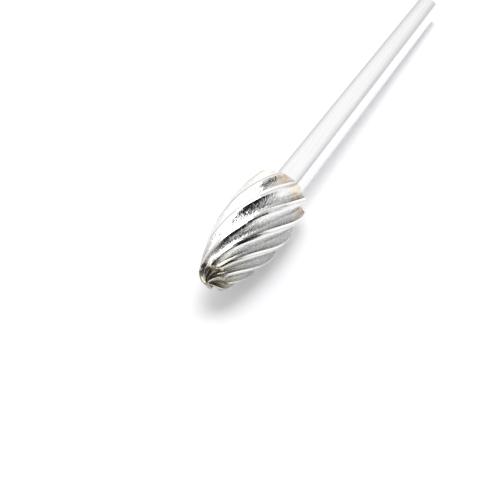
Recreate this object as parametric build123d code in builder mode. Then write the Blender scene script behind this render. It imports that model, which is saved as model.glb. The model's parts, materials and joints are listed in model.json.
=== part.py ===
from build123d import *
from math import asin, atan2, atanh, cos, hypot, log, pi, radians, sin, sqrt, tan
import os

# Tree-shaped carbide burr with a radius end. It lies on the floor, z = 0, on two of its
# cutting edges and the lower rim of its shank, with its nose towards -X. The origin is on
# the floor under the middle of its length. Sizes are in millimetres and degrees.

# The head's outline
head_diameter = 6.0
head_length = 13.0
nose_radius = 1.5
widest_at = 8.8  # from the nose, along the axis
back_cone = 1.05  # length of the cone at the back, where the gullets run out

# The teeth, as ground at the widest part: they shrink with the head towards the nose
flute_pairs = 5  # long and short gullets take turns round the head
helix_angle = 26.0  # right-hand, the same all along a tooth
edge_flat = 0.06  # ground margin left along each cutting edge
land_width = 0.42
land_relief = 10.0  # slope of the land behind the edge
back_slope = 55.0  # slope of the tooth's back, down into the gullet
root_chamfer = 0.32  # blunts the bottom of each gullet
long_start = 0.12  # where a gullet starts, measured along the outline from the nose
short_start = 1.1  # every other gullet starts further out
run_in = 0.8  # length over which a short gullet comes to its full depth

# The shank and the brazed joint
shank_diameter = 3.0
overall_length = 51.0
end_chamfer = 0.3
spigot_diameter = 2.0
spigot_length = 3.0
braze_gap = 0.05
braze_fillet = 0.15
cone_step = 0.05  # flat left between the fillet and the cone at the back

# How finely a gullet is drawn, and how far its cutter stands clear of the head
stations = 16
station_spread = 1.6  # above 1 sets the stations closer together towards the nose
clear = 0.5

head_radius = head_diameter / 2
shank_radius = shank_diameter / 2
spigot_radius = spigot_diameter / 2
socket_radius = spigot_radius + braze_gap
socket_at = head_length - spigot_length
spigot_at = socket_at + braze_gap
shoulder_at = head_length + braze_gap
fillet_radius = shank_radius + braze_fillet
rim_at = overall_length - end_chamfer
flutes = 2 * flute_pairs
tooth_pitch = 2 * pi * head_radius / flutes

# The flank is one arc, parallel to the axis at the widest part and tangent to the nose arc.
flank_radius = ((widest_at - nose_radius) ** 2 + head_radius**2 - nose_radius**2) / (
    2 * (head_radius - nose_radius)
)
flank_turn = asin((widest_at - nose_radius) / (flank_radius - nose_radius))
nose_arc = nose_radius * (pi / 2 - flank_turn)
cone_at = head_length - back_cone
flank_arc = flank_radius * (flank_turn + asin((cone_at - widest_at) / flank_radius))
outline_length = nose_arc + flank_arc


def outline(distance):
    """Place along the axis, radius and slope of the head's outline, at a distance along it."""
    if distance < nose_arc:
        turn = distance / nose_radius
        return nose_radius * (1 - cos(turn)), nose_radius * sin(turn), pi / 2 - turn
    turn = (distance - nose_arc) / flank_radius - flank_turn
    drop = flank_radius * (1 - cos(turn))
    return widest_at + flank_radius * sin(turn), head_radius - drop, -turn


def twist(distance):
    """How far the teeth have turned since the widest part, at a distance along the outline.

    A tooth keeps its helix angle, so it turns faster where the head is thinner.
    """
    if distance < nose_arc:
        share = tan(distance / nose_radius / 2) / tan(nose_arc / nose_radius / 2)
        return twist(nose_arc) + tan(radians(helix_angle)) * log(share)
    half_turn = ((distance - nose_arc) / flank_radius - flank_turn) / 2
    centre_out = flank_radius - head_radius
    stretch = sqrt(flank_radius**2 - centre_out**2)
    spread = (flank_radius + centre_out) / stretch * tan(half_turn)
    return tan(radians(helix_angle)) * 2 * flank_radius / stretch * atanh(spread)


def outline_point(distance):
    """The same point as it is drawn in a turned outline."""
    along, radius, _ = outline(distance)
    return along, radius


# The head rests where the margins of two neighbouring edges cross its underside, as far
# before its lowest place as behind it. Between them a full round head would dip below the
# floor by rest_lift. The flank's arc has its centre above the axis, by flank_rise over the
# rim of the shank.
helix_lead = pi * head_diameter / tan(radians(helix_angle))
edge_step = helix_lead / flutes
margin_step = edge_flat * helix_lead / (pi * head_diameter)
crossing = (edge_step - margin_step) / 2
round_bend = head_radius * (2 * pi / helix_lead) ** 2
flank_bend = 1 / flank_radius
rest_lift = crossing**2 / 2 * round_bend * flank_bend / (round_bend + flank_bend)
flank_run = rim_at - widest_at
flank_rise = flank_radius - head_radius + shank_radius
tilt = asin((flank_radius - rest_lift) / hypot(flank_run, flank_rise)) - atan2(flank_rise, flank_run)
lowest_at = widest_at + flank_radius * sin(tilt)
first_turn = asin((lowest_at - crossing - widest_at) / flank_radius)
edge_phase = pi - twist(nose_arc + flank_radius * (flank_turn + first_turn))

# The tool's plane: its origin is the tip of the nose, Z runs along the axis to the shank
# and X points up.
reach = overall_length * cos(tilt) + (shank_radius - end_chamfer) * sin(tilt)
nose_bulge = nose_radius * (1 - cos(tilt))
tip = Vector((nose_bulge - reach) / 2, 0, rim_at * sin(tilt) + shank_radius * cos(tilt))
tool = Plane(tip, x_dir=(sin(tilt), 0, cos(tilt)), z_dir=(cos(tilt), 0, -sin(tilt)))
axis = Axis(tip, tool.z_dir)
# Turned outlines are drawn here: X along the axis, Y out from it.
turning = Plane(tip, x_dir=tool.z_dir, z_dir=tool.z_dir.cross(tool.x_dir))


def ease(share):
    """Smooth step from 0 to 1."""
    share = max(0, min(1, share))
    return share * share * (3 - 2 * share)


def gullet_plane(distance):
    """Plane across a gullet, at the cutting edge behind it: X round the tool, Y outwards."""
    along, radius, slope = outline(distance)
    turn = edge_phase + twist(distance)
    outwards = Vector(cos(turn), sin(turn), 0)
    forwards = outwards * sin(slope) + Vector(0, 0, cos(slope))
    edge = outwards * radius + Vector(0, 0, along)
    return Plane(edge, x_dir=(-sin(turn), cos(turn), 0), z_dir=-forwards)


def gullet(start, lead_in, widening):
    """Cutter for one gullet, from its start past the back of the head.

    It sinks to full depth over lead_in, and takes the room of the gullet beside it where
    that one has not started, if widening is 1.
    """
    end = outline_length + back_cone
    with BuildPart() as cutter:
        for k in range(stations):
            distance = start + (end - start) * (k / (stations - 1)) ** station_spread
            _, radius, slope = outline(distance)
            bend = radius / cos(slope)
            room = 1 + widening * ease((short_start + run_in - distance) / run_in)
            size = room * radius / head_radius
            front = tooth_pitch * radius / head_radius / bend
            back = front - (tooth_pitch - edge_flat) * size / bend
            land_fall = -back - radians(land_relief)
            back_fall = -back - radians(back_slope)

            land_top = Vector(bend * sin(back), bend * cos(back) - bend)
            along_land = Vector(cos(land_fall), sin(land_fall))
            along_back = Vector(cos(back_fall), sin(back_fall))
            up_rake = Vector(sin(front), cos(front))
            edge_top = Vector(bend * sin(front), bend * cos(front) - bend)
            heel = land_top + along_land * land_width * size
            gap = edge_top - heel
            depth = (along_back.Y * gap.X - along_back.X * gap.Y) / (
                along_back.Y * up_rake.X - along_back.X * up_rake.Y
            )
            root = edge_top - up_rake * depth
            lift = Vector(0, (1 - ease((distance - start) / lead_in)) * depth)
            above_land = land_top - along_land * clear * size
            above_edge = edge_top + up_rake * clear * size
            above = above_land + Vector(0, clear * size)
            with BuildSketch(gullet_plane(distance)):
                with BuildLine():
                    corners = (above_land, heel, root, above_edge, above)
                    Polyline([corner + lift for corner in corners], close=True)
                make_face()
                chamfer(vertices().sort_by(Axis.Y)[0], root_chamfer * size)
        loft()
    return cutter.part


long_gullet = gullet(long_start, long_start, 1)
short_gullet = gullet(short_start, run_in, 0)

with BuildPart(tool) as cutting_head:
    with BuildSketch(turning):
        with BuildLine():
            half_nose, half_flank = nose_arc / 2, (nose_arc + outline_length) / 2
            nose = ThreePointArc((0, 0), outline_point(half_nose), outline_point(nose_arc))
            flank = ThreePointArc(nose @ 1, outline_point(half_flank), outline_point(outline_length))
            Polyline(
                flank @ 1,
                (head_length, fillet_radius + cone_step),
                (head_length, socket_radius),
                (socket_at, socket_radius),
                (socket_at, 0),
                (0, 0),
            )
        make_face()
    revolve(axis=axis)
    with PolarLocations(0, flute_pairs):
        add(long_gullet, mode=Mode.SUBTRACT)
    with PolarLocations(0, flute_pairs, start_angle=360 / flutes):
        add(short_gullet, mode=Mode.SUBTRACT)
cutting_head.part.label = "cutting_head"

with BuildPart(tool) as shank:
    with BuildSketch(tool.offset(spigot_at)):
        Circle(spigot_radius)
    extrude(amount=spigot_length)
    with BuildSketch(tool.offset(shoulder_at)):
        Circle(shank_radius)
    extrude(amount=overall_length - shoulder_at)
    chamfer(edges().filter_by(GeomType.CIRCLE).sort_by(axis)[-1], end_chamfer)
shank.part.label = "shank"

with BuildPart(tool) as braze:
    with BuildSketch(turning):
        with BuildLine():
            fillet_foot = (head_length, fillet_radius)
            fillet_top = (head_length + braze_fillet, shank_radius)
            Polyline(
                fillet_top,
                (shoulder_at, shank_radius),
                (shoulder_at, spigot_radius),
                (spigot_at, spigot_radius),
                (spigot_at, 0),
                (socket_at, 0),
                (socket_at, socket_radius),
                (head_length, socket_radius),
                fillet_foot,
            )
            RadiusArc(fillet_foot, fillet_top, -braze_fillet)
        make_face()
    revolve(axis=axis)
braze.part.label = "braze"

os.makedirs("parts", exist_ok=True)
export_step(cutting_head.part, "parts/cutting_head.step")
export_step(shank.part, "parts/shank.step")
export_step(braze.part, "parts/braze.step")
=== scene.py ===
# %% [markdown]
# # A carbide burr, dressed for its picture
# The imported model gives the burr's true sizes and the way it lies. This lesson builds the finer
# surfaces that a close view asks for: ground teeth, a polished shank and the braze that holds them
# together. The first cell loads the model.

# %% Load the frame
import json
from math import asin, atan2, atanh, cos, log, pi, radians, sin, sqrt, tan

import bpy
from mathutils import Matrix, Vector


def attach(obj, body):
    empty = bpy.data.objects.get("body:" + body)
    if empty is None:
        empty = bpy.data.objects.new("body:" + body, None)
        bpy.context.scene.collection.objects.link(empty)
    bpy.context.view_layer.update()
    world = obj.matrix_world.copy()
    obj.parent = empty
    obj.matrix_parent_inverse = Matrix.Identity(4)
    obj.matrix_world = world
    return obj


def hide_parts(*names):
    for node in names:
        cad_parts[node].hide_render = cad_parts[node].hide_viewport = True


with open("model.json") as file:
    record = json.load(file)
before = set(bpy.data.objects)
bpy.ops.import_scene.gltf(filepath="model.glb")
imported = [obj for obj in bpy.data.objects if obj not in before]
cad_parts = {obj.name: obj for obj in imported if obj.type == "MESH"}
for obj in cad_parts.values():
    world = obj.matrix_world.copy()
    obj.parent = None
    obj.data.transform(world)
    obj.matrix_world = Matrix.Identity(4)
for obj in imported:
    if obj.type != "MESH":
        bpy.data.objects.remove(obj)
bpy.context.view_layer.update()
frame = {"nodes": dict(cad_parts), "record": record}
MM = 0.001
print("nodes", sorted(frame["nodes"]))

# %% [markdown]
# ## The tool's axis
# The burr lies tilted, so its axis is not one of Blender's. The record states the shank as
# a pin, with a point on its axis and a direction. From these the lesson makes one matrix
# that carries upright drawings, with the nose at zero and Z along the tool, to where the
# burr lies. Every piece of the burr is drawn upright, in millimetres.

# %% Find the axis
shank_mount = frame["record"]["mounts"][0]
MOUNT_FROM_NOSE = 31.95  # the mount's point is in the middle of the bare shank
axis = Vector(shank_mount["axis"]).normalized()
nose_tip = Vector(shank_mount["pos_m"]) / MM - axis * MOUNT_FROM_NOSE
tilt = asin(-axis.z)
up = (Vector((0, 0, 1)) - axis * axis.z).normalized()
lay = Matrix((up, axis.cross(up), axis)).transposed().to_4x4()
lay.translation = nose_tip
lay = Matrix.Scale(MM, 4) @ lay
print("nose at", tuple(round(v, 3) for v in nose_tip), "tilt", round(tilt, 4))

# %% [markdown]
# ## The camera
# A close view has strong perspective, so the camera's distance matters as much as its
# direction. It was worked out from how fast the shank narrows in the picture, for a picture
# 500 pixels square. It aims at a point on the floor under the head.

# %% Place the camera
CAMERA_AT = Vector((-60.24, -27.63, 45.97))
CAMERA_AIM = Vector((-17.87, 0.82, 0))
CAMERA_ROLL = radians(8.9)
SENSOR = 36
PICTURE_SIDE = 500
FOCAL_PIXELS = 800

camera = bpy.data.objects.new("camera", bpy.data.cameras.new("camera"))
camera.data.sensor_width = SENSOR
camera.data.lens = SENSOR * FOCAL_PIXELS / PICTURE_SIDE
camera.data.clip_start = MM
sight = CAMERA_AIM - CAMERA_AT
turn = Matrix.Rotation(CAMERA_ROLL, 4, sight) @ sight.to_track_quat("-Z", "Y").to_matrix().to_4x4()
camera.matrix_world = Matrix.Translation(CAMERA_AT * MM) @ turn
bpy.context.collection.objects.link(camera)
bpy.context.scene.camera = camera
print("lens", round(camera.data.lens, 1), "mm, distance", round(sight.length, 1), "mm")

# %% [markdown]
# ## Shader maths as plain arithmetic
# A finish is a small program made of nodes. Wrapping a socket in a class with operators
# lets that program read like arithmetic.

# %% A wire that can be added and multiplied
class Wire:
    """The value that leaves a socket, ready for arithmetic."""

    def __init__(self, tree, socket):
        self.tree = tree
        self.socket = socket

    def math(self, operation, first, second):
        return self.tree.add("ShaderNodeMath", {"operation": operation}, {0: first, 1: second})

    def __add__(self, other):
        return self.math("ADD", self, other)

    def __radd__(self, other):
        return self.math("ADD", other, self)

    def __sub__(self, other):
        return self.math("SUBTRACT", self, other)

    def __rsub__(self, other):
        return self.math("SUBTRACT", other, self)

    def __mul__(self, other):
        return self.math("MULTIPLY", self, other)

    def __rmul__(self, other):
        return self.math("MULTIPLY", other, self)

    def __truediv__(self, other):
        return self.math("DIVIDE", self, other)

    def __rtruediv__(self, other):
        return self.math("DIVIDE", other, self)


print("a wire adds, subtracts, multiplies and divides")

# %% [markdown]
# One method makes every kind of node. Settings such as a Math node's operation come first,
# because they can change which sockets a node has. A socket is found by its number or by
# its name, and by its identifier where a node repeats a name.

# %% A tree with one way to add a node
class Tree:
    """The node tree of a material or of the world, cleared and ready to fill."""

    def __init__(self, owner):
        owner.use_nodes = True
        self.nodes = owner.node_tree.nodes
        self.links = owner.node_tree.links
        self.nodes.clear()
        in_world = isinstance(owner, bpy.types.World)
        self.output = "ShaderNodeOutputWorld" if in_world else "ShaderNodeOutputMaterial"

    def add(self, kind, settings=None, values=None, out=0):
        """A node with its settings and inputs. What it gives back is the wire of one output."""
        node = self.nodes.new(kind)
        for name, setting in (settings or {}).items():
            if name == "stops":
                self.set_stops(node.color_ramp, setting)
            else:
                setattr(node, name, setting)
        for name, value in (values or {}).items():
            socket = self.find(node.inputs, name)
            if isinstance(value, Wire):
                self.links.new(value.socket, socket)
            else:
                socket.default_value = value
        return Wire(self, self.find(node.outputs, out)) if node.outputs else None

    def find(self, sockets, name):
        """A socket by its number, its identifier or its name."""
        if isinstance(name, int):
            return sockets[name]
        named = [socket for socket in sockets if socket.identifier == name]
        return named[0] if named else sockets[name]

    def set_stops(self, ramp, stops):
        """Fills a colour ramp with stops: a place, and a grey or a colour."""
        while len(ramp.elements) < len(stops):
            ramp.elements.new(0.5)
        for element, (place, colour) in zip(ramp.elements, stops):
            element.position = place
            element.color = (*colour, 1) if isinstance(colour, tuple) else (*[colour] * 3, 1)

    def ramp(self, place, stops):
        """A grey or a colour looked up on a ramp."""
        return self.add("ShaderNodeValToRGB", {"stops": stops}, {"Fac": place})

    def mix(self, share, first, second, blend="MIX"):
        """A colour between two colours."""
        settings = {"data_type": "RGBA", "blend_type": blend}
        values = {"Factor_Float": share, "A_Color": first, "B_Color": second}
        return self.add("ShaderNodeMix", settings, values, "Result_Color")

    def tint(self, first, second):
        """One colour times another."""
        return self.mix(1, first, second, "MULTIPLY")

    def clamp(self, value):
        """A value held between 0 and 1."""
        return self.add("ShaderNodeClamp", None, {"Value": value})

    def pattern(self):
        """The two numbers that each face corner stores: a place across and one along."""
        spot = self.add("ShaderNodeUVMap", {"uv_map": "pattern"})
        return [self.add("ShaderNodeSeparateXYZ", None, {0: spot}, side) for side in "XY"]

    def grain(self, across, along, cells, detail=2):
        """Fine noise, from 0 to 1, with so many cells to one unit across and along."""
        spot = {"X": across * cells[0], "Y": along * cells[1]}
        spot = self.add("ShaderNodeCombineXYZ", None, spot)
        return self.add("ShaderNodeTexNoise", None, {"Vector": spot, "Scale": 1, "Detail": detail})

    def relief(self, height, strength, depth):
        """A normal that follows a pattern of heights, where 1 is the depth in metres."""
        values = {"Strength": strength, "Distance": depth, "Height": height}
        return self.add("ShaderNodeBump", None, values)

    def surface(self, shader):
        """Sends a shader to the surface of the material or the world."""
        self.add(self.output, None, {"Surface": shader})

    def metal(self, colour, roughness, normal):
        """Sends a metal to the surface."""
        values = {"Base Color": colour, "Metallic": 1, "Roughness": roughness, "Normal": normal}
        self.surface(self.add("ShaderNodeBsdfPrincipled", None, values))


print("one method adds any node")

# %% [markdown]
# ## The floor
# The burr lies on plain white paper. Paper lit to full white would need more light than the
# burr itself should get, so the paper also glows a little, but only for the rays that show
# it as a background. The light that it throws on the burr stays that of plain paper, and
# the burr's soft shadow stays on it. The sheet ends about where the light falls off, and
# the white room goes on from there.

# %% Floor
FLOOR_HALF = 120
FLOOR_COLOUR = (0.86, 0.86, 0.88, 1)
FLOOR_LIFT = 0.27


def seen_directly(tree):
    """1 for rays that show a background: from the camera, off metal or through glass."""
    rays = [f"Is {kind} Ray" for kind in ("Camera", "Glossy", "Transmission")]
    seen, mirrored, through = [tree.add("ShaderNodeLightPath", None, None, ray) for ray in rays]
    return tree.clamp(seen + mirrored + through)


floor_mesh = bpy.data.meshes.new("floor")
signs = ((-1, -1), (1, -1), (1, 1), (-1, 1))
corners = [(x * FLOOR_HALF * MM, y * FLOOR_HALF * MM, 0) for x, y in signs]
floor_mesh.from_pydata(corners, [], [(0, 1, 2, 3)])
floor = bpy.data.objects.new("floor", floor_mesh)
bpy.context.collection.objects.link(floor)

floor_paint = bpy.data.materials.new("white paper")
tree = Tree(floor_paint)
matt = tree.add("ShaderNodeBsdfDiffuse", None, {"Color": FLOOR_COLOUR})
lift = tree.add("ShaderNodeEmission", None, {"Strength": seen_directly(tree) * FLOOR_LIFT})
tree.surface(tree.add("ShaderNodeAddShader", None, {0: matt, 1: lift}))
floor_mesh.materials.append(floor_paint)
print("floor", 2 * FLOOR_HALF, "mm square")

# %% [markdown]
# ## Rings of points
# The tent, the head, the shank and the braze are all made of rings of points round an axis.
# A band of faces joins one ring to the next, and a fan of faces closes an end ring at a
# pole. Blender can add a dome or a cylinder by itself, but rings made here can have any
# radius at any place, and their numbering is known.

# %% Rings and the faces between them
def circle(radius, along, count):
    """Points once round the axis, at a place along it."""
    turns = [2 * pi * k / count for k in range(count)]
    return [Vector((radius * cos(turn), radius * sin(turn), along)) for turn in turns]


def ring_faces(first, second, count):
    """Faces between two closed rings of points, given by the number of their first point."""
    order = [(k, (k + 1) % count) for k in range(count)]
    return [(first + k, first + n, second + n, second + k) for k, n in order]


def fan_faces(pole, ring, count, inwards=False):
    """Faces from a pole to a closed ring."""
    order = [(k, (k + 1) % count) for k in range(count)]
    return [(pole, ring + k, ring + n) if inwards else (pole, ring + n, ring + k) for k, n in order]


print("a band between rings of 3 points has", len(ring_faces(0, 3, 3)), "faces")

# %% [markdown]
# ## The tent
# Polished metal shows what stands round it, so most of its look is made here. The burr lies
# under a small tent of white cloth, which gives the clean white bands on the teeth. The tent
# has two dark openings, a wide door beyond the nose and a window at the side, and they are
# what the gullets show as near-black. The cloth is dim near the floor, which draws the grey
# line down the shank. A picture of a studio could stand here instead, but a formula for the
# brightness can be tuned one opening at a time. The camera looks through the cloth, because
# the tent is hidden from it.

# %% Tent
TENT_RADIUS = 350
TENT_RINGS = 24
TENT_SIDES = 64

tent_points = [Vector((0, 0, TENT_RADIUS))]
tent_faces = fan_faces(0, 1, TENT_SIDES)
for ring in range(1, TENT_RINGS + 1):
    if ring > 1:
        tent_faces += ring_faces(len(tent_points) - TENT_SIDES, len(tent_points), TENT_SIDES)
    elevation = pi / 2 * (1 - ring / TENT_RINGS)
    tent_points += circle(TENT_RADIUS * cos(elevation), TENT_RADIUS * sin(elevation), TENT_SIDES)
tent_mesh = bpy.data.meshes.new("tent")
tent_mesh.from_pydata([point * MM for point in tent_points], [], tent_faces)
tent = bpy.data.objects.new("tent", tent_mesh)
bpy.context.collection.objects.link(tent)
tent.visible_camera = False
print("tent", 2 * TENT_RADIUS, "mm across")

# %% Tent cloth
# Brightness by height, and by nearness to the middle of each opening. An opening has the
# azimuth and elevation of its middle in a tent that is stretched upwards by its flatness.
HEIGHT_STOPS = [(0, 0.68), (0.1, 0.68), (0.33, 1.0), (0.5, 1.1)]
DOOR_STOPS = [(0.0, 1.0), (0.25, 1.0), (0.38, 0.13), (0.8, (0.08, 0.08, 0.09))]
WINDOW_STOPS = [(0.0, 1.0), (0.87, 1.0), (0.89, 0.04), (0.95, (0.015, 0.015, 0.02))]
DOOR = ((175, 5), 1.6, DOOR_STOPS)
WINDOW = ((-93, 32), 0.75, WINDOW_STOPS)


def heading(azimuth, elevation):
    """Unit vector at an azimuth and an elevation."""
    return Vector((cos(elevation) * cos(azimuth), cos(elevation) * sin(azimuth), sin(elevation)))


def vector_math(tree, operation, first, second=(0, 0, 0), out="Vector"):
    """One Vector Math node."""
    return tree.add("ShaderNodeVectorMath", {"operation": operation}, {0: first, 1: second}, out)


cloth = bpy.data.materials.new("tent cloth")
tree = Tree(cloth)
place = tree.add("ShaderNodeNewGeometry", None, None, "Position")
height = tree.add("ShaderNodeSeparateXYZ", None, {0: vector_math(tree, "NORMALIZE", place)}, "Z")
glow = tree.ramp(height, HEIGHT_STOPS)
for middle, flatness, stops in (DOOR, WINDOW):
    stretched = vector_math(tree, "MULTIPLY", place, (1, 1, flatness))
    towards = vector_math(tree, "NORMALIZE", stretched)
    nearness = vector_math(tree, "DOT_PRODUCT", towards, heading(*map(radians, middle)), "Value")
    glow = tree.tint(glow, tree.ramp(nearness, stops))
tree.surface(tree.add("ShaderNodeEmission", None, {"Color": glow, "Strength": 1}))
tent_mesh.materials.append(cloth)
cloth.cycles.emission_sampling = "NONE"
print("a door towards", DOOR[0], "and a window towards", WINDOW[0])

# %% [markdown]
# ## The room and the lamp
# Outside the tent the room is plain white at strength 1, so the floor runs into it with
# hardly a line. One wide round softbox hangs above the burr, a little to one side, and gives
# it a soft shadow. A small lamp would draw a hard one. The lamp adds only what the white
# tent lacks, so that colours come out about as they are written.

# %% World
WHITE = (1, 1, 1, 1)

room = bpy.data.worlds.new("room")
bpy.context.scene.world = room
tree = Tree(room)
tree.surface(tree.add("ShaderNodeBackground", None, {"Color": WHITE, "Strength": 1}))
bpy.context.scene.view_settings.view_transform = "Standard"
print("a plain white room")

# %% Softbox
LIGHT_FROM = Vector((0.15, -0.12, 1.0)).normalized()
LIGHT_DISTANCE = 260
LIGHT_SIZE = 190
LIGHT_WATTS = 0.3

softbox = bpy.data.objects.new("softbox", bpy.data.lights.new("softbox", "AREA"))
softbox.data.shape = "DISK"
softbox.data.size = LIGHT_SIZE * MM
softbox.data.energy = LIGHT_WATTS
softbox.location = (CAMERA_AIM + LIGHT_FROM * LIGHT_DISTANCE) * MM
softbox.rotation_euler = LIGHT_FROM.to_track_quat("Z", "Y").to_euler()
bpy.context.collection.objects.link(softbox)
print("softbox from", [round(v, 2) for v in LIGHT_FROM])

# %% [markdown]
# ## The head's outline
# The head is a tree shape: a round nose that runs into one long arc, with a short cone at
# the back where the gullets run out. The sizes are those of the construction. The outline
# is walked by distance from the nose, because there the teeth crowd together and the slope
# changes fast.

# %% Sizes of the head
HEAD_RADIUS = 3.0
HEAD_LENGTH = 13.0
NOSE_RADIUS = 1.5
WIDEST_AT = 8.8
BACK_CONE = 1.05
CONE_FOOT_RADIUS = 1.7

flank_radius = ((WIDEST_AT - NOSE_RADIUS) ** 2 + HEAD_RADIUS**2 - NOSE_RADIUS**2) / (
    2 * (HEAD_RADIUS - NOSE_RADIUS)
)
flank_turn = asin((WIDEST_AT - NOSE_RADIUS) / (flank_radius - NOSE_RADIUS))
nose_arc = NOSE_RADIUS * (pi / 2 - flank_turn)
cone_at = HEAD_LENGTH - BACK_CONE


def outline(distance):
    """Place along the axis, radius and slope of the head's outline."""
    if distance < nose_arc:
        turn = distance / NOSE_RADIUS
        return NOSE_RADIUS * (1 - cos(turn)), NOSE_RADIUS * sin(turn), pi / 2 - turn
    turn = (distance - nose_arc) / flank_radius - flank_turn
    drop = flank_radius * (1 - cos(turn))
    return WIDEST_AT + flank_radius * sin(turn), HEAD_RADIUS - drop, -turn


def distance_at(along):
    """The distance along the flank that reaches a place along the axis."""
    return nose_arc + flank_radius * (flank_turn + asin((along - WIDEST_AT) / flank_radius))


cone_radius = outline(distance_at(cone_at))[1]
cone_fall = (cone_radius - CONE_FOOT_RADIUS) / BACK_CONE
print("outline", round(distance_at(HEAD_LENGTH), 2), "mm, flank radius", round(flank_radius, 2))

# %% [markdown]
# ## One tooth
# A grinding wheel leaves four surfaces on each tooth: a narrow margin at the cutting edge,
# a land that falls away gently, a steeper back and, past the rounded root, the rake face of
# the next tooth. Across the flute these are straight lines and one arc, so their depth at
# any angle has a formula. Evaluating it is exact and light, where cutting ten twisted
# shapes out of a mesh would leave ragged edges.

# %% Sizes of the teeth
FLUTES = 10
HELIX_ANGLE = radians(26)
EDGE_FLAT = 0.06
LAND_WIDTH = 0.42
LAND_RELIEF = radians(10)
BACK_SLOPE = radians(55)
ROOT_RADIUS = 0.4
LONG_START = 0.12
SHORT_START = 1.1
RUN_IN = 0.8
HEEL_BLEND = 0.15
PITCH = 2 * pi / FLUTES

SHANK_RADIUS = shank_mount["dims"]["r_mm"]


def twist(distance):
    """How far the teeth have turned since the widest part, for one helix angle all along."""
    if distance < nose_arc:
        share = tan(distance / NOSE_RADIUS / 2) / tan(nose_arc / NOSE_RADIUS / 2)
        return twist(nose_arc) + tan(HELIX_ANGLE) * log(share)
    half_turn = ((distance - nose_arc) / flank_radius - flank_turn) / 2
    centre_out = flank_radius - HEAD_RADIUS
    stretch = sqrt(flank_radius**2 - centre_out**2)
    spread = (flank_radius + centre_out) / stretch * tan(half_turn)
    return tan(HELIX_ANGLE) * 2 * flank_radius / stretch * atanh(spread)


crossing = (PITCH * HEAD_RADIUS - EDGE_FLAT) / tan(HELIX_ANGLE) / 2
lowest_at = WIDEST_AT + flank_radius * sin(tilt)
edge_phase = pi - twist(distance_at(lowest_at - crossing))
print("an edge crosses the underside", round(lowest_at - crossing, 2), "mm from the nose")


def ease(share):
    """Smooth step from 0 to 1."""
    share = max(0, min(1, share))
    return share * share * (3 - 2 * share)


def spoke(angle):
    """Unit vector at an angle from straight up, in the section of a gullet."""
    return Vector((sin(angle), cos(angle)))


# %% Section of a gullet
class Gullet:
    """A gullet's section at a distance along the outline.

    Its angles are measured round a circle with the surface's own bend, from the edge behind.
    """

    def __init__(self, distance, start, lead_in, widening):
        _, radius, slope = outline(distance)
        self.bend = radius / cos(slope)
        self.front = PITCH * radius / self.bend
        room = 1 + widening * ease((SHORT_START + RUN_IN - distance) / RUN_IN)
        size = room * radius / HEAD_RADIUS
        self.back = self.front - (PITCH * HEAD_RADIUS - EDGE_FLAT) * size / self.bend
        land_top = spoke(self.back) * self.bend
        self.land = self.line(land_top, LAND_RELIEF)
        fall = self.back + LAND_RELIEF
        heel = land_top + Vector((cos(fall), -sin(fall))) * LAND_WIDTH * size
        self.heel = atan2(heel.x, heel.y)
        self.blend = HEEL_BLEND * size
        self.slope = self.line(heel, BACK_SLOPE)
        self.edge = spoke(self.front) * self.bend
        self.rake = self.line(self.edge, self.front - self.back - pi / 2)
        self.arc = ROOT_RADIUS * size
        self.centre = self.meet(self.arc)
        foot = self.centre - self.slope[0] * self.arc
        self.foot = atan2(foot.x, foot.y)
        self.toe = self.centre - self.rake[0] * self.arc
        corner = self.edge - self.meet(0)
        self.lift = (1 - ease((distance - start) / lead_in)) * corner.length

    def line(self, through, fall):
        """A straight surface, as its normal and its distance from the centre of the circle."""
        normal = spoke(self.back + fall)
        return normal, through.dot(normal)

    def reach_of(self, line, angle):
        """How far out a spoke meets a straight surface."""
        normal, distance = line
        return distance / normal.dot(spoke(angle))

    def meet(self, above):
        """The point that is as far above the back as above the rake face."""
        (back, back_distance), (rake, rake_distance) = self.slope, self.rake
        first, second = back_distance + above, rake_distance + above
        size = back.x * rake.y - back.y * rake.x
        return Vector((first * rake.y - back.y * second, back.x * second - first * rake.x)) / size

    def depth_at(self, angle):
        """Depth below the head's round surface."""
        if not self.back < angle <= self.front:
            return 0
        land, slope = self.reach_of(self.land, angle), self.reach_of(self.slope, angle)
        close = max(self.blend - abs(land - slope), 0)
        surface = min(land, slope) - close * close / self.blend / 4
        if angle > self.foot:
            middle = self.centre.dot(spoke(angle))
            surface = middle - max(self.arc**2 - self.centre.length_squared + middle**2, 0) ** 0.5
        if angle > atan2(self.toe.x, self.toe.y):
            surface = min(self.reach_of(self.rake, angle), self.bend)
        return max(0, self.bend - surface - self.lift)


sample = Gullet(distance_at(WIDEST_AT), LONG_START, LONG_START, 1)
print("gullet at the widest part", round(sample.depth_at(sample.foot), 2), "mm deep")

# %% [markdown]
# ## The head's mesh
# The surface is a grid: rows across the head, and columns that follow the features of each
# tooth, so that edges stay crisp and no face crosses one. Long and short gullets take
# turns. Near the nose the long ones take the room of the short ones, so there a point is as
# deep as the deeper of the two. Towards the back the rows stand more and more upright, so
# that the last one lies in the flat back face.

# %% Columns of one tooth
LAND_STEPS = 4
HEEL_STEPS = 4
BACK_STEPS = 6
ARC_STEPS = 9
RAKE_STEPS = 4
LEAST_STEP = 0.0006


def shares(first, last, steps):
    """Evenly spaced values after the first, up to the last."""
    return [first + (last - first) * (k + 1) / steps for k in range(steps)]


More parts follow.
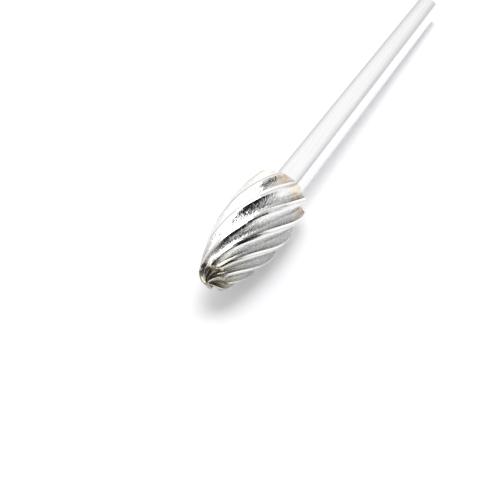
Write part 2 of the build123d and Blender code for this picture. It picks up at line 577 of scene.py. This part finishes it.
def tooth_row(own, other, top):
    """Angles and depths across one tooth, from its margin to just below the next edge.

    other gives the depth that the neighbouring gullet reaches here, and top the depth at
    the head of the rake face.
    """
    rounding = 2 * own.blend / own.bend
    angles = [0, own.back]
    angles += shares(own.back, own.heel - rounding, LAND_STEPS)
    angles += shares(own.heel - rounding, own.heel + rounding, HEEL_STEPS)
    angles += shares(own.heel + rounding, own.foot, BACK_STEPS)
    row = []
    for k, angle in enumerate(angles):
        angle = max(angle, k * LEAST_STEP)
        row.append((angle, max(own.depth_at(angle), other(angle))))
    turns = shares(own.back + BACK_SLOPE + pi, own.front + pi / 2, ARC_STEPS)
    spots = [own.centre + spoke(turn) * own.arc for turn in turns]
    spots += shares(own.toe, own.edge, RAKE_STEPS)[:-1]
    for spot in spots:
        angle = atan2(spot.x, spot.y)
        depth = own.bend - spot.length - own.lift
        row.append((angle, max(depth, other(angle), top)))
    return row


# The place that each column stores: the margin ends at 0.1, the land at 1, the heel at 1.4,
# the back at 2, the root at 3 and the rake face at 4.
LAND_SPANS = [(0.1, 1), (1, LAND_STEPS), (1.4, HEEL_STEPS)]
GULLET_SPANS = [(2, BACK_STEPS), (3, ARC_STEPS), (4, RAKE_STEPS)]
ZONES = [0]
for end, steps in LAND_SPANS + GULLET_SPANS:
    ZONES += shares(ZONES[-1], end, steps)
print(len(ZONES) - 1, "columns a tooth")

# %% Rows from the nose to the back
NOSE_ROWS = 46
FLANK_ROWS = 80
BACK_ROWS = 40
FIRST_ROW = 0.03
NOSE_PATCH = 2.0
UPRIGHT_FROM = 9.0

distances = [FIRST_ROW] + shares(FIRST_ROW, NOSE_PATCH, NOSE_ROWS)
distances += shares(NOSE_PATCH, distance_at(cone_at - EDGE_FLAT), FLANK_ROWS)
distances += shares(distances[-1], distance_at(HEAD_LENGTH), BACK_ROWS)


def head_row(distance):
    """Upright points once round the head."""
    long_one = Gullet(distance, LONG_START, LONG_START, 1)
    short_one = Gullet(distance, SHORT_START, RUN_IN, 0)

    def behind(angle):
        """Depth that the long gullet behind a short one reaches."""
        return long_one.depth_at(angle - long_one.front)

    long_row = tooth_row(long_one, lambda angle: 0, 0)
    short_row = tooth_row(short_one, behind, long_one.depth_at(0))
    along, radius, slope = outline(distance)
    upright = ease((along - UPRIGHT_FROM) / (cone_at - UPRIGHT_FROM))
    points = []
    for k in range(FLUTES):
        for angle, depth in short_row if k % 2 else long_row:
            level = distance - depth * tan(slope) * upright
            place, out, fall = outline(level)
            turn = edge_phase + twist(level) + k * PITCH + angle * long_one.bend / radius
            out -= depth * cos(fall)
            place = min(place + depth * sin(fall), HEAD_LENGTH)
            out = min(out, cone_radius - (place - cone_at) * cone_fall)
            points.append(Vector((out * cos(turn), out * sin(turn), place)))
    return points


rows = [head_row(distance) for distance in distances]
for point in rows[-1]:
    point.z = HEAD_LENGTH
COLUMNS = len(rows[0])
print(len(rows), "rows of", COLUMNS, "points")

# %% [markdown]
# ## From points to a piece
# Every piece is made the same way: points and faces become a mesh, the matrix lays it where the
# burr is, it is hung on the burr's root body, and the plain solid that it stands for is hidden.
# Edges that fold more than a set angle stay sharp.

# %% A piece from points and faces
SHARP_DEGREES = 12


def make_piece(node, slot, points, faces, patterns):
    """A smooth-shaded piece in place of a node. Patterns give each face corner its place."""
    mesh = bpy.data.meshes.new(node + "_fine")
    mesh.from_pydata([lay @ point for point in points], [], faces)
    mesh.polygons.foreach_set("use_smooth", [True] * len(mesh.polygons))
    mesh.set_sharp_from_angle(angle=radians(SHARP_DEGREES))
    layer = mesh.uv_layers.new(name="pattern")
    layer.data.foreach_set("uv", [value for face in patterns for spot in face for value in spot])
    piece = bpy.data.objects.new(node + "_fine", mesh)
    bpy.context.collection.objects.link(piece)
    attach(piece, "root")
    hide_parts(node)
    print(piece.name, len(mesh.vertices), "points", len(mesh.polygons), "faces")
    return piece


print("folds of more than", SHARP_DEGREES, "degrees stay sharp")

# %% [markdown]
# ## The head and its socket
# The head is one piece of carbide with a blind hole in its back for the shank's spigot. The
# rows of the grid follow one another from a pole at the nose, and two plain rings and a fan
# make the back face and the hole. A boolean could cut the hole, but rings whose points stand
# at the angles of the last row leave no thin faces round the teeth.

# %% The head, with the socket for the spigot
SPIGOT_RADIUS = 1.0
SPIGOT_LENGTH = 3.0
BRAZE_GAP = 0.05
socket_radius = SPIGOT_RADIUS + BRAZE_GAP
socket_at = HEAD_LENGTH - SPIGOT_LENGTH


def round_ring(ring, radius, along):
    """A circle whose points stand at the angles of another ring's points."""
    return [Vector((p.x, p.y, 0)).normalized() * radius + Vector((0, 0, along)) for p in ring]


points = [Vector((0, 0, 0))]
faces = fan_faces(0, 1, COLUMNS)
patterns = [[(0, 0)] * 3 for face in faces]
tooth_columns = COLUMNS // FLUTES
for r, row in enumerate(rows):
    if r:
        faces += ring_faces(len(points) - COLUMNS, len(points), COLUMNS)
        for k in range(COLUMNS):
            column = k % tooth_columns
            low, high = distances[r - 1], distances[r]
            near, far = ZONES[column], ZONES[column + 1]
            patterns.append([(near, low), (far, low), (far, high), (near, high)])
    points += row
back_ring = rows[-1]
for radius, along in ((socket_radius, HEAD_LENGTH), (socket_radius, socket_at)):
    faces += ring_faces(len(points) - COLUMNS, len(points), COLUMNS)
    points += round_ring(back_ring, radius, along)
faces += fan_faces(len(points), len(points) - COLUMNS, COLUMNS, inwards=True)
points.append(Vector((0, 0, socket_at)))
patterns += [[(0, 0)] * len(face) for face in faces[len(patterns) :]]
head = make_piece("cutting_head", "carbide", points, faces, patterns)

# %% [markdown]
# ## The shank
# The shank is a plain steel rod with a thinner spigot turned on its front end and a chamfer
# on the other. It is a turned part, so it is drawn as a profile of radius against length and
# spun, as on a lathe. A Screw modifier spins a profile too, but here each face corner also
# gets its place in the pattern. The chamfer's two edges get a tiny round, because no real
# edge is quite sharp, and a round one catches the light.

# %% Shank
SIDES = 192
OVERALL_LENGTH = 51.0
END_CHAMFER = 0.3
BRAZE_FILLET = 0.15
EDGE_ROUND = 0.04
ROUND_STEPS = 5
spigot_at = socket_at + BRAZE_GAP
shoulder_at = HEAD_LENGTH + BRAZE_GAP


def soften(before, corner, after):
    """A small round in place of a corner of a profile."""
    before, corner, after = Vector(before), Vector(corner), Vector(after)
    first = corner + (before - corner).normalized() * EDGE_ROUND
    last = corner + (after - corner).normalized() * EDGE_ROUND
    steps = [k / ROUND_STEPS for k in range(ROUND_STEPS + 1)]
    return [tuple(first.lerp(corner, k).lerp(corner.lerp(last, k), k)) for k in steps]


def lathe(profile):
    """A turned piece from (radius, along) pairs that start and end at 0, with its patterns.

    A pattern's place is the share of the turn and the distance walked along the profile.
    """
    walked = [0]
    for before, after in zip(profile, profile[1:]):
        walked.append(walked[-1] + (Vector(after) - Vector(before)).length)
    points, faces = [Vector((0, 0, profile[0][1]))], fan_faces(0, 1, SIDES)
    for k, (radius, along) in enumerate(profile[1:-1]):
        if k:
            faces += ring_faces(len(points) - SIDES, len(points), SIDES)
        points += circle(radius, along, SIDES)
    faces += fan_faces(len(points), len(points) - SIDES, SIDES, inwards=True)
    points.append(Vector((0, 0, profile[-1][1])))
    turns = [(k / SIDES, (k + 1) / SIDES) for k in range(SIDES)]
    patterns = [[(a, walked[0]), (b, walked[1]), (a, walked[1])] for a, b in turns]
    for near, far in zip(walked[1:], walked[2:-1]):
        patterns += [[(a, near), (b, near), (b, far), (a, far)] for a, b in turns]
    patterns += [[(a, walked[-1]), (a, walked[-2]), (b, walked[-2])] for a, b in turns]
    return points, faces, patterns


shoulder, end = (SHANK_RADIUS, shoulder_at), (0, OVERALL_LENGTH)
rim = (SHANK_RADIUS, OVERALL_LENGTH - END_CHAMFER)
face_rim = (SHANK_RADIUS - END_CHAMFER, OVERALL_LENGTH)
shank_profile = [
    (0, spigot_at),
    (SPIGOT_RADIUS, spigot_at),
    (SPIGOT_RADIUS, shoulder_at),
    shoulder,
    *soften(shoulder, rim, face_rim),
    *soften(rim, face_rim, end),
    end,
]
shank = make_piece("shank", "shank_steel", *lathe(shank_profile))

# %% [markdown]
# ## The braze
# A film of braze fills the gap round the spigot and ends in a small hollow fillet where the
# shank leaves the head. It is turned as the shank is, with a quarter circle for the fillet.

# %% Braze
FILLET_STEPS = 10
fillet_centre = (SHANK_RADIUS + BRAZE_FILLET, HEAD_LENGTH + BRAZE_FILLET)
fillet = []
for turn in shares(0, pi / 2, FILLET_STEPS):
    radius = fillet_centre[0] - BRAZE_FILLET * sin(turn)
    fillet.append((radius, fillet_centre[1] - BRAZE_FILLET * cos(turn)))
braze_profile = [
    (0, socket_at),
    (socket_radius, socket_at),
    (socket_radius, HEAD_LENGTH),
    (SHANK_RADIUS + BRAZE_FILLET, HEAD_LENGTH),
    *fillet,
    (SHANK_RADIUS, shoulder_at),
    (SPIGOT_RADIUS, shoulder_at),
    (SPIGOT_RADIUS, spigot_at),
    (0, spigot_at),
]
braze = make_piece("braze", "braze_alloy", *lathe(braze_profile))

# %% [markdown]
# ## Ground carbide
# Sintered carbide is a hard silvery metal. The lands are ground fine and stay bright. The gullets
# are ground in one deep pass with a coarser wheel, so they are greyer and show fine lines that
# slant across the flute, with fainter ones along it. Part of their grey is painted shade: the root
# is painted darker for the shadowed floor that it reflects, and thin painted shade lines run along
# the heel and just below the cutting edge. The nose is browner, and the heat of the brazing has
# left a pale copper tint at the back. Each face corner of the head stores its place: which surface
# of the tooth it is on, from 0 at one edge to 4 at the next, and how far it is from the nose in
# millimetres. A finish worked out from those two numbers follows every tooth, which a picture laid
# over the head would not.

# %% Tones and painted shade of the carbide
# Painted shade: the dark root from 0.5 to 0.72, the dip at 0.262 by the heel and the grey from 0.92
# to 0.965 just below the cutting edge stand in for shade and darker reflections.
TOOTH_TONE_AND_SHADE_STOPS = [
    (0.0, (0.98, 0.97, 0.95)),
    (0.24, (0.96, 0.95, 0.93)),
    (0.262, (0.6, 0.59, 0.57)),
    (0.3, (0.86, 0.86, 0.86)),
    (0.44, (0.88, 0.88, 0.88)),
    (0.5, (0.72, 0.72, 0.71)),
    (0.62, (0.42, 0.42, 0.42)),
    (0.72, (0.44, 0.44, 0.43)),
    (0.92, (0.58, 0.57, 0.55)),
    (0.965, (0.58, 0.57, 0.55)),
    (0.985, (0.98, 0.97, 0.95)),
]
HEAT_STOPS = [
    (0.0, (0.3, 0.26, 0.18)),
    (0.1, (0.5, 0.45, 0.33)),
    (0.16, (0.94, 0.92, 0.85)),
    (0.3, (1.0, 1.0, 1.0)),
    (0.8, (1.0, 1.0, 1.0)),
    (0.86, (1.0, 0.95, 0.84)),
    (0.91, (0.96, 0.78, 0.58)),
    (0.96, (1.0, 0.94, 0.84)),
]
print(len(TOOTH_TONE_AND_SHADE_STOPS), "tones across a tooth and", len(HEAT_STOPS), "along the head")

# %% Carbide
SURFACES = 4  # stored places from one edge to the next
HEAT_LENGTH = 14.0  # millimetres of outline that the heat stops cover
# The next stops are looked up across the tooth, those after them along the head, and the
# last two in noise.
GULLET_STOPS = [(0.27, 0.0), (0.34, 1.0), (0.93, 1.0), (0.97, 0.0)]
HATCHED_STOPS = [(0.18, 0.05), (0.34, 1.0), (0.7, 1.0), (0.84, 0.4)]
HATCH_SHADE_STOPS = [(0.4, 0.2), (0.6, 0.0)]
GLINT_STOPS = [(0.58, 0.0), (0.66, 1.0)]
HATCH_COLOUR = (0.3, 0.3, 0.29, 1)
GLINT_COLOUR = (1.0, 0.95, 0.78, 1)
DRIFT_CELLS = (0.9, 0.5)
HATCH_CELLS = (2.2, 5)
HATCH_SLANT = 1.2  # millimetres along the head for each stored place across the flute
LINE_CELLS = (22, 0.7)
GLINT_CELLS = (3, 5)
TONE_DRIFT = 0.06
HEAT_DRIFT = 0.12
LAND_HEAT = 0.1
GLINT_SHARE = 0.3
LINE_SHARE = 0.15
HATCH_DEPTH = 0.06 * MM
LAND_POLISH, HATCH_ROUGHNESS, GLINT_ROUGHNESS = 0.06, 0.08, 0.25

carbide = bpy.data.materials.new("ground carbide")
tree = Tree(carbide)
zone, along = tree.pattern()
in_gullet = tree.ramp(zone / SURFACES, GULLET_STOPS)
drift = tree.grain(zone, along, DRIFT_CELLS) - 0.5
hatch = tree.grain(zone, along + zone * HATCH_SLANT, HATCH_CELLS)
lines = tree.grain(zone, along, LINE_CELLS, 3)
glint = tree.ramp(tree.grain(zone, along, GLINT_CELLS, 1), GLINT_STOPS) * in_gullet
# The tooth's tone carries painted shade at the root, at the heel and just below the cutting edge.
tone_and_shade = tree.ramp(tree.clamp(zone / SURFACES + drift * TONE_DRIFT), TOOTH_TONE_AND_SHADE_STOPS)
tone_and_shade = tree.mix(in_gullet * tree.ramp(hatch, HATCH_SHADE_STOPS), tone_and_shade, HATCH_COLOUR)
heat = tree.ramp(along / HEAT_LENGTH + drift * HEAT_DRIFT, HEAT_STOPS)
heat = tree.mix(in_gullet * (1 - LAND_HEAT) + LAND_HEAT, WHITE, heat)
tone_and_shade = tree.mix(glint * GLINT_SHARE, tree.tint(tone_and_shade, heat), GLINT_COLOUR)
hatched = in_gullet * tree.ramp(along / HEAT_LENGTH, HATCHED_STOPS)
ground = tree.relief(hatch * hatched + lines * LINE_SHARE, 1, HATCH_DEPTH)
roughness = LAND_POLISH + in_gullet * hatch * HATCH_ROUGHNESS + glint * GLINT_ROUGHNESS
tree.metal(tone_and_shade, roughness, ground)
head.data.materials.append(carbide)
print("carbide, with a hatch", HATCH_DEPTH / MM, "mm deep")

# %% [markdown]
# ## Polished steel
# The shank is ground round and then polished, which leaves very fine rings round it with a
# few deeper scratches. Its corners store the share of the turn and the distance along the
# profile in millimetres. Noise with many cells one way and few the other gives the rings
# and the streaks, so no picture has to be wrapped round the rod.

# %% Steel
DULL_STEEL = (0.84, 0.84, 0.85, 1)
BRIGHT_STEEL = (0.88, 0.88, 0.89, 1)
STREAK_STOPS = [(0.42, 0.0), (0.62, 1.0)]
SCRATCH_STOPS = [(0.68, 0.0), (0.74, 1.0)]
RING_CELLS = (3, 9)
STREAK_CELLS = (60, 0.12)
CLOUD_CELLS = (4, 0.4)
SCRATCH_CELLS = (5, 20)
RING_DEPTH = 0.004 * MM
RING_STRENGTH = 0.3
STREAK_SHARE, SCRATCH_SHARE = 0.6, 0.4
STEEL_POLISH, CLOUD_ROUGHNESS, SCRATCH_ROUGHNESS = 0.1, 0.12, 0.1

steel = bpy.data.materials.new("polished steel")
tree = Tree(steel)
turned, along = tree.pattern()
rings = tree.grain(turned, along, RING_CELLS, 3)
streaks = tree.grain(turned, along, STREAK_CELLS, 3)
cloud = tree.grain(turned, along, CLOUD_CELLS)
scratch = tree.ramp(tree.grain(turned, along, SCRATCH_CELLS, 1), SCRATCH_STOPS)
polished = tree.mix(tree.ramp(streaks, STREAK_STOPS), DULL_STEEL, BRIGHT_STEEL)
marks = rings + streaks * STREAK_SHARE + scratch * SCRATCH_SHARE
roughness = STEEL_POLISH + cloud * CLOUD_ROUGHNESS + scratch * SCRATCH_ROUGHNESS
tree.metal(polished, roughness, tree.relief(marks, RING_STRENGTH, RING_DEPTH))
shank.data.materials.append(steel)
print("steel, with rings", RING_DEPTH / MM, "mm deep")

# %% [markdown]
# ## Braze alloy
# The braze is a soft copper-coloured alloy that has flowed, so it is smooth but mottled. One
# noise drives its colour and its roughness, so that the paler spots are also the duller
# ones.

# %% Braze alloy
ALLOY_STOPS = [(0.35, (0.5, 0.3, 0.16)), (0.5, (0.78, 0.5, 0.28)), (0.68, (0.9, 0.72, 0.5))]
MOTTLE_CELLS = (24, 3)
FLOW_CELLS = (9, 1.5)
FLOW_DEPTH = 0.01 * MM
FLOW_STRENGTH = 0.4
MOTTLE_SHARE = 0.4
ALLOY_POLISH, MOTTLE_ROUGHNESS = 0.2, 0.25

copper = bpy.data.materials.new("braze alloy")
tree = Tree(copper)
turned, along = tree.pattern()
mottle = tree.grain(turned, along, MOTTLE_CELLS, 3)
flow = tree.grain(turned, along, FLOW_CELLS)
ripples = tree.relief(flow + mottle * MOTTLE_SHARE, FLOW_STRENGTH, FLOW_DEPTH)
roughness = ALLOY_POLISH + mottle * MOTTLE_ROUGHNESS
tree.metal(tree.ramp(mottle, ALLOY_STOPS), roughness, ripples)
braze.data.materials.append(copper)
print("braze, with ripples", FLOW_DEPTH / MM, "mm deep")
